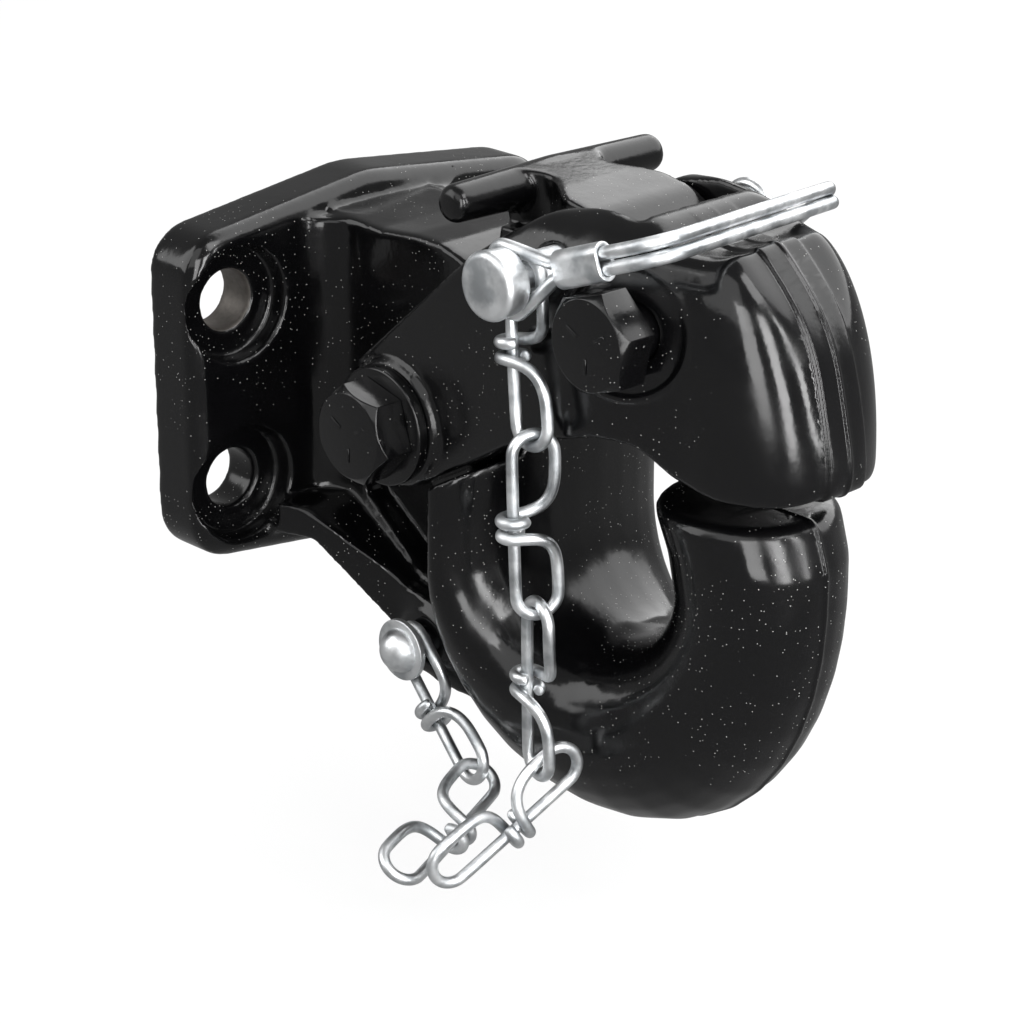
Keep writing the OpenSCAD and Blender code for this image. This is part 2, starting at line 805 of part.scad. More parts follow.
// Chain links: one wire bent into two loops, each end wound once round the straight strand
strand = link_w / 2 - wire_d / 2;
loop_mid = link_l / 2 - link_w / 2;
knot_r = wire_d + 0.15;
knot_z = wire_d / 2 + 0.25;
loop_steps = 12;
cross_steps = 9;
knot_steps = 9;
knot_turn = 245;
// A point of a smooth curve between two places, led by two more
function curve(a, b, c, d, k) =
    a * (1 - k) * (1 - k) * (1 - k) + 3 * b * k * (1 - k) * (1 - k) + 3 * c * k * k * (1 - k) + d * k * k * k;
// Half of a link's path: from the straight strand round one loop, then across to the knot
function half_link() = concat(
    [for (i = [0 : loop_steps])
        let (a = 180 - 180 * i / loop_steps)
        [strand * cos(a), 0, loop_mid + strand * sin(a)]],
    [for (i = [1 : cross_steps])
        curve(
            [strand, 0, loop_mid - 2],
            [strand, 0, knot_z + 3],
            [strand - 2, knot_r, knot_z + 0.6],
            [-strand, knot_r, knot_z + 0.2],
            i / cross_steps
        )],
    [for (i = [1 : knot_steps])
        let (a = 90 + knot_turn * i / knot_steps)
        [-strand + knot_r * cos(a), knot_r * sin(a), knot_z + 0.2 * (1 - i / knot_steps)]]
);
function mirrored(p) = [for (i = [len(p) - 1 : -1 : 0]) [p[i][0], -p[i][1], -p[i][2]]];
link_path = concat(mirrored(half_link()), half_link());
// Place a link by its middle, the direction to its top and the direction of its width
module chain_link(place) {
    w = unit(place[1]);
    u = square_to(place[2], w);
    n = cross(w, u);
    c = place[0];
    color(zinc)
        multmatrix([
            [u[0], n[0], w[0], c[0]],
            [u[1], n[1], w[1], c[1]],
            [u[2], n[2], w[2], c[2]],
            [0, 0, 0, 1]
        ])
            swept_wire(link_path, wire_d, [0, 1, 0]);
}
// Each link hangs on the wire below the last one's loop
tip = link_l / 2 - wire_d / 2;
hang = wire_d + link_gap;
function bottom(place) = place[0] - tip * unit(place[1]);
function hung(from, up, wide) = [from + hang * unit(up) - tip * unit(up), up, wide];
plumb = [0, 0, 1];
link_1_up = [-5.5, 2.6, 40];
link_1_top = [pin_x, link_y, pin_z] + (neck_d / 2 + link_gap + wire_d / 2) * unit(link_1_up);
link_1 = [link_1_top - tip * unit(link_1_up), link_1_up, [1, 0, 0]];
link_2 = hung(bottom(link_1), [-1.7, 0, 40], [0.42, 0.9, 0]);
link_3 = hung(bottom(link_2), [-0.5, 0, 40], [1, -0.27, 0]);
// The fourth link lies loosely: its upper strand rests on the third link's wire
link_4_up = [9, 30, 21];
link_4_wide = cross(link_3[2], link_4_up);
link_4_slack = 6.5;
link_4_hung = hung(bottom(link_3), link_4_up, link_4_wide);
link_4 = [
    link_4_hung[0] + link_4_slack * unit(link_4_up) - (strand - hang) * unit(link_4_wide),
    link_4_up,
    link_4_wide
];
// The other end of the chain starts at the screw
screw_washer_t = 1.5;
screw_head_h = 4.5;
screw_link_room = 1.4;
screw_link_y = -(screw_boss_out + screw_link_room + wire_d / 2);
screw_washer_y = screw_link_y - wire_d / 2 - screw_link_room;
link_6_up = [-30, 6, 22.5];
link_6_top = [screw_x, screw_link_y, screw_z] + (screw_d / 2 + link_gap + wire_d / 2) * unit(link_6_up);
link_6 = [link_6_top - tip * unit(link_6_up), link_6_up, [22.5, 0, 30]];
link_5_up = [-12, 42, 9];
link_5 = hung(bottom(link_6), link_5_up, cross(link_6[2], link_5_up));
module chain_link_1() { chain_link(link_1); }
module chain_link_2() { chain_link(link_2); }
module chain_link_3() { chain_link(link_3); }
module chain_link_4() { chain_link(link_4); }
module chain_link_5() { chain_link(link_5); }
module chain_link_6() { chain_link(link_6); }

// Screw with a domed head, and its washer
module chain_screw() {
    head_y = screw_washer_y - screw_washer_t;
    dome_r = (screw_head_d * screw_head_d / 4 + screw_head_h * screw_head_h) / (2 * screw_head_h);
    color(zinc) {
        cross_rod(screw_x, screw_z, screw_d, head_y - 0.5, screw_thread_y - 1);
        intersection() {
            translate([screw_x, head_y - screw_head_h + dome_r, screw_z])
                sphere(r = dome_r);
            cross_rod(screw_x, screw_z, screw_head_d, head_y - screw_head_h, head_y);
        }
    }
}
module chain_screw_washer() {
    color(zinc)
        washer(screw_x, screw_z, screw_washer_d, screw_d + 2 * fit,
            screw_washer_y - screw_washer_t, screw_washer_y);
}

hook_body();
jaw();
jaw_pivot_bolt();
jaw_pivot_nut();
jaw_pivot_washers();
lock_lever();
lock_pivot_bolt();
lock_pivot_nut();
lock_pivot_washer();
lock_spring();
safety_pin();
pin_bail();
bail_ferrule();
chain_screw();
chain_screw_washer();
chain_link_1();
chain_link_2();
chain_link_3();
chain_link_4();
chain_link_5();
chain_link_6();
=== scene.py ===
import logging
import math
from collections.abc import Callable
from dataclasses import dataclass
from enum import Enum

import bmesh
import bpy
from mathutils import Euler, Matrix, Vector


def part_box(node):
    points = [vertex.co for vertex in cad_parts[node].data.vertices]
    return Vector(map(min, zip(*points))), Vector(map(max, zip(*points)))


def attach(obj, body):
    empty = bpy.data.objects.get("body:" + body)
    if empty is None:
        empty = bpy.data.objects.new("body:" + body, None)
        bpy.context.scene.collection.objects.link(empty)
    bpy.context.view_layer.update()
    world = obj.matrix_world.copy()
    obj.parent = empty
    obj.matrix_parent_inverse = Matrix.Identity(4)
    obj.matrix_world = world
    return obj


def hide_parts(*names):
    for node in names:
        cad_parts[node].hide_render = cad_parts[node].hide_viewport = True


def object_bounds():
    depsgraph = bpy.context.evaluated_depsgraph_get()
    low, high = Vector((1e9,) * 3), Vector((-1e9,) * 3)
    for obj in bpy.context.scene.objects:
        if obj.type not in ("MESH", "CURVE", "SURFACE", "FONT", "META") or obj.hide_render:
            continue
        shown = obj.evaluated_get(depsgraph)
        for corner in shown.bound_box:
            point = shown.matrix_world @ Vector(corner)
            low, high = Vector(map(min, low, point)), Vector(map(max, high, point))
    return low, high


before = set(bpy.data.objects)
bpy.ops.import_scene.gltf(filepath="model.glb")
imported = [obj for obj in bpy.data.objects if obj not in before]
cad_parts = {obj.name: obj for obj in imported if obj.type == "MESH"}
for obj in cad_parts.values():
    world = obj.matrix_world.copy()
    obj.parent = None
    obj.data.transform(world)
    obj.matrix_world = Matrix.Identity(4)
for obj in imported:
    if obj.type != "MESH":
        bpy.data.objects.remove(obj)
CAD_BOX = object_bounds()
LOG = logging.getLogger("pintle_hook")
MM = 0.001
MERGE_DISTANCE = 0.004 * MM
GRID_TILT = Euler((0.61, 0.47, 0.83)).to_matrix().to_4x4()
SMOOTH_FACTOR = 0.5
LINKS = 6

Socket = bpy.types.NodeSocket
Color = tuple[float, float, float]
Point = tuple[float, float, float]
Range = tuple[float, float]
WHOLE: Range = (0.0, 1.0)


class Slot(Enum):
    """The record's material slots."""

    ENAMEL = "enamel"
    FASTENERS = "black_fasteners"
    ZINC = "zinc"
    SPRING = "spring_steel"


class NodeBoard:
    """A material's node tree, with short calls that add and link nodes."""

    def __init__(self, name: str) -> None:
        """Starts a tree with its output, its main shader and the piece's own coordinates.

        Args:
            name: The material's name.
        """
        self.material = bpy.data.materials.new(name)
        self.material.use_nodes = True
        self.tree = self.material.node_tree
        self.tree.nodes.clear()
        self.output = self.tree.nodes.new("ShaderNodeOutputMaterial")
        self.shader = self.tree.nodes.new("ShaderNodeBsdfPrincipled")
        self.link(self.shader.outputs["BSDF"], self.output.inputs["Surface"])
        self.place = self.tree.nodes.new("ShaderNodeTexCoord").outputs["Object"]

    def link(self, source: Socket, target: Socket) -> None:
        """Links an output to an input."""
        self.tree.links.new(source, target)

    def feed(self, target: Socket, value: object) -> None:
        """Gives an input a link or a plain value.

        Args:
            target: The input.
            value: An output to link, or a number or colour to set.
        """
        if isinstance(value, Socket):
            self.link(value, target)
        elif isinstance(value, tuple) and target.type == "RGBA":
            target.default_value = (*value, 1.0)
        else:
            target.default_value = value

    def surface(self, **inputs: object) -> None:
        """Gives the main shader's inputs their values, with underscores for spaces."""
        for name, value in inputs.items():
            self.feed(self.shader.inputs[name.replace("_", " ")], value)

    def noise(self, scale: float, detail: float) -> Socket:
        """Adds a noise on the piece's own coordinates.

        Args:
            scale: Waves in a metre.
            detail: Octaves of finer noise.

        Returns:
            The noise's grey value.
        """
        node = self.tree.nodes.new("ShaderNodeTexNoise")
        node.inputs["Scale"].default_value = scale
        node.inputs["Detail"].default_value = detail
        self.link(self.place, node.inputs["Vector"])
        return node.outputs["Fac"]

    def cells(self, scale: float) -> tuple[Socket, Socket]:
        """Adds a cell pattern on the piece's own coordinates.

        Args:
            scale: Cells in a metre.

        Returns:
            The distance to the nearest cell's middle, and a random grey for that cell.
        """
        node = self.tree.nodes.new("ShaderNodeTexVoronoi")
        node.inputs["Scale"].default_value = scale
        self.link(self.place, node.inputs["Vector"])
        parts = self.tree.nodes.new("ShaderNodeSeparateColor")
        self.link(node.outputs["Color"], parts.inputs["Color"])
        return node.outputs["Distance"], parts.outputs["Red"]

    def math(self, operation: str, a: object, b: object = 0.0) -> Socket:
        """Adds a sum of one or two values.

        Args:
            operation: The Math node's operation.
            a: The first value or output.
            b: The second value or output.

        Returns:
            The result.
        """
        node = self.tree.nodes.new("ShaderNodeMath")
        node.operation = operation
        self.feed(node.inputs[0], a)
        self.feed(node.inputs[1], b)
        return node.outputs[0]

    def span(self, value: Socket, source: Range, target: Range) -> Socket:
        """Adds a smooth change of range.

        Args:
            value: The output to change.
            source: The values that become the target's ends.
            target: The results at those two values.

        Returns:
            The changed value.
        """
        node = self.tree.nodes.new("ShaderNodeMapRange")
        node.interpolation_type = "SMOOTHSTEP"
        ends = ("From Min", "From Max", "To Min", "To Max")
        for name, number in zip(ends, (*source, *target)):
            node.inputs[name].default_value = number
        self.link(value, node.inputs["Value"])
        return node.outputs["Result"]

    def mix(self, share: Socket, a: object, b: object) -> Socket:
        """Adds a mix of two colours.

        Args:
            share: How much of the second colour shows.
            a: The first colour or output.
            b: The second colour or output.

        Returns:
            The mixed colour.
        """
        node = self.tree.nodes.new("ShaderNodeMix")
        node.data_type = "RGBA"
        factor, first, second = (node.inputs[i] for i in (0, 6, 7))
        self.link(share, factor)
        self.feed(first, a)
        self.feed(second, b)
        return node.outputs[2]

    def bump(self, height: Socket, distance: float, under: Socket | None = None) -> Socket:
        """Adds relief.

        Args:
            height: The relief's grey value.
            distance: The height of white over black, in metres.
            under: The normal of a coarser relief below this one.

        Returns:
            The new normal.
        """
        node = self.tree.nodes.new("ShaderNodeBump")
        node.inputs["Distance"].default_value = distance
        self.link(height, node.inputs["Height"])
        if under is not None:
            self.link(under, node.inputs["Normal"])
        return node.outputs["Normal"]


@dataclass(frozen=True)
class BareHoles:
    """The upper mounting holes, whose walls are bare steel."""

    across: float = 42.865 * MM
    up: float = 22.225 * MM
    radius: float = 7.35 * MM
    fade: float = 0.35 * MM
    color: Color = (0.15, 0.137, 0.125)
    shade: float = 0.45
    grain_scale: float = 900.0
    roughness: float = 0.5
    metallic: float = 0.75

    def mask(self, board: NodeBoard) -> Socket:
        """Adds the mask of the bare walls.

        Args:
            board: The material's nodes.

        Returns:
            A mask that is 1 in the upper mounting holes.
        """
        parts = board.tree.nodes.new("ShaderNodeSeparateXYZ")
        board.link(board.place, parts.inputs["Vector"])
        side = board.math("SUBTRACT", board.math("ABSOLUTE", parts.outputs["Y"]), self.across)
        height = board.math("SUBTRACT", parts.outputs["Z"], self.up)
        squares = [board.math("MULTIPLY", part, part) for part in (side, height)]
        reach = board.math("SQRT", board.math("ADD", *squares))
        return board.span(reach, (self.radius, self.radius + self.fade), (1.0, 0.0))

    def steel(self, board: NodeBoard) -> Socket:
        """Adds the steel's grained colour.

        Args:
            board: The material's nodes.

        Returns:
            The colour.
        """
        dark = tuple(part * self.shade for part in self.color)
        return board.mix(board.noise(self.grain_scale, detail=4.0), dark, self.color)


@dataclass(frozen=True)
class Enamel:
    """Gloss black enamel, flowed on over a forged skin, with dust in it."""

    name: str
    color: Color = (0.0016, 0.0016, 0.0018)
    ior: float = 1.45
    gloss_scale: float = 70.0
    gloss_band: Range = (0.3, 0.7)
    roughness: Range = (0.10, 0.24)
    forging_scale: float = 60.0
    forging_height: float = 0.16 * MM
    peel_scale: float = 620.0
    peel_height: float = 0.022 * MM
    dust: Color = (0.27, 0.27, 0.26)
    dust_scale: float = 860.0
    dust_radius: float = 0.135
    dust_core: float = 0.55
    dust_roughness: float = 0.55
    dust_share: float = 0.2
    patch_scale: float = 34.0
    patch_band: Range = (0.38, 0.60)
    bare: BareHoles | None = None

    def material(self) -> bpy.types.Material:
        """Builds the material.

        Returns:
            The enamel, with bare steel in the named holes where there are any.
        """
        board = NodeBoard(self.name)
        speck = self._specks(board)
        color = board.mix(speck, self.color, self.dust)
        uneven = board.noise(self.gloss_scale, detail=3.0)
        gloss = board.span(uneven, self.gloss_band, self.roughness)
        rough = board.math("MAXIMUM", gloss, board.math("MULTIPLY", speck, self.dust_roughness))
        forging = board.bump(board.noise(self.forging_scale, detail=2.5), self.forging_height)
        normal = board.bump(board.noise(self.peel_scale, detail=1.0), self.peel_height, forging)
        if self.bare is not None:
            mask = self.bare.mask(board)
            color = board.mix(mask, color, self.bare.steel(board))
            bare_rough = board.math("MULTIPLY", mask, self.bare.roughness)
            rough = board.math("MAXIMUM", rough, bare_rough)
            board.surface(Metallic=board.math("MULTIPLY", mask, self.bare.metallic))
        board.surface(Base_Color=color, Roughness=rough, Normal=normal, IOR=self.ior)
        return board.material

    def _specks(self, board: NodeBoard) -> Socket:
        """Adds the mask of the dust, which lies in loose patches.

        Args:
            board: The material's nodes.

        Returns:
            A mask that is 1 on a speck.
        """
        distance, pick = board.cells(self.dust_scale)
        patch = board.span(board.noise(self.patch_scale, detail=3.0), self.patch_band, WHOLE)
        chosen = board.math("GREATER_THAN", board.math("MULTIPLY", pick, patch), self.dust_share)
        edge = (self.dust_radius * self.dust_core, self.dust_radius)
        return board.math("MULTIPLY", board.span(distance, edge, (1.0, 0.0)), chosen)


@dataclass(frozen=True)
class Zinc:
    """Bright zinc plating on wire and turned steel, with a slightly uneven sheen."""

    name: str = "bright_zinc"
    dull: Color = (0.44, 0.46, 0.475)
    bright: Color = (0.80, 0.815, 0.825)
    stain_scale: float = 150.0
    stain_band: Range = (0.34, 0.62)
    sheen_scale: float = 90.0
    sheen_band: Range = (0.3, 0.7)
    roughness: Range = (0.30, 0.52)
    grain_scale: float = 1500.0
    grain_height: float = 0.034 * MM
    dent_scale: float = 260.0
    dent_height: float = 0.11 * MM

    def material(self) -> bpy.types.Material:
        """Builds the material.

        Returns:
            The plated metal.
        """
        board = NodeBoard(self.name)
        stain = board.span(board.noise(self.stain_scale, detail=3.0), self.stain_band, WHOLE)
        uneven = board.noise(self.sheen_scale, detail=2.0)
        rough = board.span(uneven, self.sheen_band, self.roughness)
        dent = board.bump(board.noise(self.dent_scale, detail=2.0), self.dent_height)
        normal = board.bump(board.noise(self.grain_scale, detail=2.0), self.grain_height, dent)
        color = board.mix(stain, self.dull, self.bright)
        board.surface(Base_Color=color, Roughness=rough, Normal=normal, Metallic=1.0)
        return board.material


@dataclass(frozen=True)
class SpringWire:
    """Oiled spring wire."""

    name: str = "oiled_spring_wire"
    dark: Color = (0.10, 0.10, 0.11)
    light: Color = (0.30, 0.30, 0.31)
    roughness: float = 0.34
    sheen_scale: float = 420.0
    sheen_height: float = 0.02 * MM

    def material(self) -> bpy.types.Material:
        """Builds the material.

        Returns:
            The wire's metal.
        """
        board = NodeBoard(self.name)
        sheen = board.noise(self.sheen_scale, detail=3.0)
        color = board.mix(sheen, self.dark, self.light)
        normal = board.bump(sheen, self.sheen_height)
        board.surface(Base_Color=color, Roughness=self.roughness, Normal=normal, Metallic=1.0)
        return board.material


@dataclass(frozen=True)
class PaleFloor:
    """The studio's pale floor, white to the camera, with a soft shadow."""

    name: str = "studio_floor"
    color: Color = (0.86, 0.86, 0.86)
    roughness: float = 0.9
    glow: float = 0.84
    mirrored: float = 0.33

    def material(self) -> bpy.types.Material:
        """Builds the material.

        Returns:
            The floor's material.
        """
        board = NodeBoard(self.name)
        board.surface(Base_Color=self.color, Roughness=self.roughness, Specular_IOR_Level=0.0)
        rays = board.tree.nodes.new("ShaderNodeLightPath").outputs
        camera = rays["Is Camera Ray"]
        mirror = board.math("MAXIMUM", rays["Is Glossy Ray"], rays["Is Transmission Ray"])
        light = board.tree.nodes.new("ShaderNodeEmission")
        light.inputs["Color"].default_value = (1.0, 1.0, 1.0, 1.0)
        strength = board.math("ADD", camera, board.math("MULTIPLY", mirror, self.mirrored))
        board.link(strength, light.inputs["Strength"])
        both = board.tree.nodes.new("ShaderNodeMixShader")
        glowing = board.math("ADD", board.math("MULTIPLY", camera, self.glow), mirror)
        board.link(glowing, both.inputs[0])
        board.link(board.shader.outputs["BSDF"], both.inputs[1])
        board.link(light.outputs["Emission"], both.inputs[2])
        board.link(both.outputs["Shader"], board.output.inputs["Surface"])
        return board.material


def new_piece(name: str, mesh: bpy.types.Mesh) -> bpy.types.Object:
    """Puts a mesh into the scene as a piece at the origin.

    Args:
        name: The piece's name.
        mesh: Its mesh, already in place.

    Returns:
        The piece.
    """
    piece = bpy.data.objects.new(name, mesh)
    bpy.context.scene.collection.objects.link(piece)
    return piece


def merged_copy(node: str) -> bmesh.types.BMesh:
    """Copies a solid's triangles with their shared corners joined.

    Args:
        node: The solid's node.

    Returns:
        The joined copy.
    """
    bm = bmesh.new()
    bm.from_mesh(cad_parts[node].data)
    bmesh.ops.remove_doubles(bm, verts=bm.verts, dist=MERGE_DISTANCE)
    return bm


def made(bm: bmesh.types.BMesh, name: str) -> bpy.types.Mesh:
    """Turns a bmesh into a mesh with smooth shading.

    Args:
        bm: The bmesh, which is freed.
        name: The mesh's name.

    Returns:
        The mesh.
    """
    mesh = bpy.data.meshes.new(name)
    bm.to_mesh(mesh)
    bm.free()
    mesh.shade_smooth()
    return mesh


def settle(piece: bpy.types.Object) -> None:
    """Applies a piece's modifiers to its mesh.

    Args:
        piece: The piece.
    """
    graph = bpy.context.evaluated_depsgraph_get()
    mesh = bpy.data.meshes.new_from_object(piece.evaluated_get(graph))
    piece.modifiers.clear()
    piece.data = mesh


def hill(distance: float, half_width: float) -> float:
    """A smooth hill.

    Args:
        distance: How far a point lies from the hill's line.
        half_width: Half of the hill's width.

    Returns:
        1 on the line, 0 from half_width on.
    """
    share = min(abs(distance) / half_width, 1.0)
    return (1.0 - share * share) ** 2


def rise(value: float, start: float, end: float) -> float:
    """A smooth step.

    Args:
        value: Where the step is read.
        start: Where it starts.
        end: Where it is whole.

    Returns:
        A share from 0 to 1.
    """
    share = min(max((value - start) / (end - start), 0.0), 1.0)
    return share * share * (3.0 - 2.0 * share)


@dataclass(frozen=True)
class DieMarks:
    """The parting lines, the nose's raised band and the bolt seat's lip, left by the dies."""

    line_height: float = 0.42 * MM
    line_half: float = 0.9 * MM
    band_height: float = 0.75 * MM
    band_half: float = 6.6 * MM
    band_edge: float = 1.0 * MM
    flank_end: float = 18.0 * MM
    nose_start: float = 122.0 * MM
    nose_reach: float = 14.0 * MM
    horn_start: float = 112.0 * MM
    horn_reach: float = 10.0 * MM
    seat_x: float = 126.0 * MM
    seat_z: float = 38.5 * MM
    seat_r: float = 14.3 * MM
    lip_half: float = 1.5 * MM
    lip_height: float = 0.7 * MM
    lip_out: float = 22.0 * MM
    lip_reach: float = 3.0 * MM

    def on_jaw(self, point: Vector) -> float:
        """How far the jaw's skin stands out.

        The band and the line keep their height, and the flanks beside them are lowered.

        Args:
            point: A point of the skin.

        Returns:
            The way out along the normal, in metres.
        """
        side = abs(point.y)
        front = rise(point.x, self.nose_start, self.nose_start + self.nose_reach)
        below = rise(side, self.band_half - self.band_edge, self.band_half)
        fade = 1.0 - rise(side, self.band_half, self.flank_end)
        beside_line = 1.0 - hill(side, self.line_half)
        sunk = below * self.band_height + beside_line * self.line_height
        from_seat = math.hypot(point.x - self.seat_x, point.z - self.seat_z) - self.seat_r
        outer = rise(side, self.lip_out, self.lip_out + self.lip_reach)
        lip = outer * hill(from_seat, self.lip_half) * self.lip_height
        return lip - front * fade * sunk

    def on_hook(self, point: Vector) -> float:
        """How far the hook's skin stands out at a point."""
        front = rise(point.x, self.horn_start, self.horn_start + self.horn_reach)
        return front * hill(point.y, self.line_half) * self.line_height


@dataclass(frozen=True)
class HeadStrokes:
    """The three raised strokes of a bolt's head."""

    radius: float = 4.6 * MM
    size: Point = (3.4 * MM, 0.6 * MM, 0.8 * MM)
    edge: float = 0.16 * MM
    bearings: tuple[float, ...] = (90.0, 210.0, 330.0)

    def add(self, bm: bmesh.types.BMesh, low: Point, high: Point) -> None:
        """Adds the strokes to a bolt whose head faces the near side.

        Args:
            bm: The bolt's bmesh.
            low: The lowest corner of the bolt's box.
            high: The highest corner of the bolt's box.
        """
        centre = Vector(((low[0] + high[0]) / 2, low[1], (low[2] + high[2]) / 2))
        out = Matrix.Translation((self.radius, 0.0, 0.0)) @ Matrix.Diagonal((*self.size, 1.0))
        for bearing in self.bearings:
            turn = Matrix.Rotation(math.radians(bearing), 4, "Y")
            place = Matrix.Translation(centre) @ turn @ out
            stroke = bmesh.ops.create_cube(bm, size=1.0, matrix=place)["verts"]
            edges = list(dict.fromkeys(edge for vert in stroke for edge in vert.link_edges))
            bmesh.ops.bevel(
                bm,
                geom=edges,
                offset=self.edge,
                affect="EDGES",
                segments=2,
                profile=0.5,
                material=-1,
            )


@dataclass
class Piece:
    """A piece of the scene that stands for one solid."""

    node: str
    body: str
    slot: Slot

    def finish(self, piece: bpy.types.Object, material: bpy.types.Material) -> bpy.types.Object:
        """Coats a piece and puts it in its solid's place.

        Args:
            piece: The piece.
            material: Its finish.

        Returns:
            The piece.
        """
        piece.data.materials.clear()
        piece.data.materials.append(material)
        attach(piece, self.body)
        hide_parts(self.node)
        return piece


@dataclass
class Forging(Piece):
    """A drop-forged piece: its solid with the soft edges that a die leaves."""

    voxel: float = 0.55 * MM
    rounds: int = 46
    triangles: int = 170_000
    soft_from: float | None = None
    soft_reach: float = 16.0 * MM
    soft_steps: int = 10
    soft_rounds: int = 180
    relief: Callable[[Vector], float] | None = None

    def build(self, material: bpy.types.Material) -> bpy.types.Object:
        """Makes the piece and puts it in its solid's place.

        The skin is laid on a tilted grid, so that its straight edges don't show steps.

        Args:
            material: Its finish.

        Returns:
            The piece.
        """
        piece = new_piece(self.node + "_forging", made(merged_copy(self.node), self.node))
        piece.data.transform(GRID_TILT)
        self._skin(piece)
        piece.data.transform(GRID_TILT.inverted())
        if self.soft_from is not None:
            self._soften_front(piece)
        if self.relief is not None:
            self._raise_relief(piece)
        self._thin(piece)
        piece.data.shade_smooth()
        return self.finish(piece, material)

    def _skin(self, piece: bpy.types.Object) -> None:
        """Lays a fine skin over the piece and softens it.

        Args:
            piece: The piece.
        """
        remesh = piece.modifiers.new("skin", "REMESH")
        remesh.mode = "VOXEL"
        remesh.voxel_size = self.voxel
        smooth = piece.modifiers.new("soften", "SMOOTH")
        smooth.factor = SMOOTH_FACTOR
        smooth.iterations = self.rounds
        settle(piece)

    def _soften_front(self, piece: bpy.types.Object) -> None:
        """Evens out the rounded front, from soft_from forward.

        Args:
            piece: The piece, with its skin.
        """
        front = piece.vertex_groups.new(name="front")
        whole = self.soft_from + self.soft_reach
        steps: dict[int, list[int]] = {}
        for vert in piece.data.vertices:
            step = round(self.soft_steps * rise(vert.co.x, self.soft_from, whole))
            steps.setdefault(step, []).append(vert.index)
        for step, indices in steps.items():
            front.add(indices, step / self.soft_steps, "REPLACE")
        smooth = piece.modifiers.new("front", "SMOOTH")
        smooth.factor = SMOOTH_FACTOR
        smooth.iterations = self.soft_rounds
        smooth.vertex_group = front.name
        settle(piece)
        piece.vertex_groups.clear()

    def _raise_relief(self, piece: bpy.types.Object) -> None:
        """Raises the die's marks on the piece.

        Args:
            piece: The piece, with its skin.
        """
        bm = bmesh.new()
        bm.from_mesh(piece.data)
        bm.normal_update()
        lifts = [(vert, vert.normal * self.relief(vert.co)) for vert in bm.verts]
        for vert, lift in lifts:
            vert.co += lift
        bm.to_mesh(piece.data)
        bm.free()

    def _thin(self, piece: bpy.types.Object) -> None:
        """Thins the skin where it is flat.

        Args:
            piece: The piece.
        """
        fine = sum(len(face.vertices) - 2 for face in piece.data.polygons)
        thin = piece.modifiers.new("thin", "DECIMATE")
        thin.ratio = min(1.0, self.triangles / fine)
        settle(piece)


@dataclass
class Turned(Piece):
    """A machined or stamped piece: its solid with the small edge breaks of the real one."""

    edge: float
    strokes: HeadStrokes | None = None
    flat: float = math.radians(1.0)
    sharp: float = math.radians(28.0)
    crease: float = math.radians(32.0)

    def build(self, material: bpy.types.Material) -> bpy.types.Object:
        """Makes the piece and puts it in its solid's place.

        Args:
            material: Its finish.

        Returns:
            The piece.
        """
        bm = merged_copy(self.node)
        bmesh.ops.dissolve_limit(
            bm, angle_limit=self.flat, verts=bm.verts, edges=bm.edges, delimit={"NORMAL"}
        )
        corners = [e for e in bm.edges if e.is_manifold and e.calc_face_angle(0.0) > self.sharp]
        bmesh.ops.bevel(
            bm,
            geom=corners,
            offset=self.edge,
            offset_type="OFFSET",
            affect="EDGES",
            segments=3,
            profile=0.5,
            material=-1,
            clamp_overlap=True,
        )
        if self.strokes is not None:
            self.strokes.add(bm, *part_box(self.node))
        mesh = made(bm, self.node)
        mesh.set_sharp_from_angle(angle=self.crease)
        return self.finish(new_piece(self.node + "_finished", mesh), material)


@dataclass
class RoundWire(Piece):
    """A bent wire: its eight-sided solid made round."""

    swell: float
    face_angle: float = math.radians(40.0)
    shape_angle: float = math.radians(60.0)
    levels: int = 2

    def build(self, material: bpy.types.Material) -> bpy.types.Object:
        """Makes the piece and puts it in its solid's place.

        Args:
            material: Its finish.

        Returns:
            The piece.
        """
        bm = merged_copy(self.node)
        bmesh.ops.join_triangles(
            bm,
            faces=bm.faces,
            angle_face_threshold=self.face_angle,
            angle_shape_threshold=self.shape_angle,
        )
        bm.normal_update()
        for vert in bm.verts:
            vert.co += vert.normal * self.swell
        piece = new_piece(self.node + "_wire", made(bm, self.node))
        divide = piece.modifiers.new("round", "SUBSURF")
        divide.levels = self.levels
        divide.render_levels = self.levels
        return self.finish(piece, material)


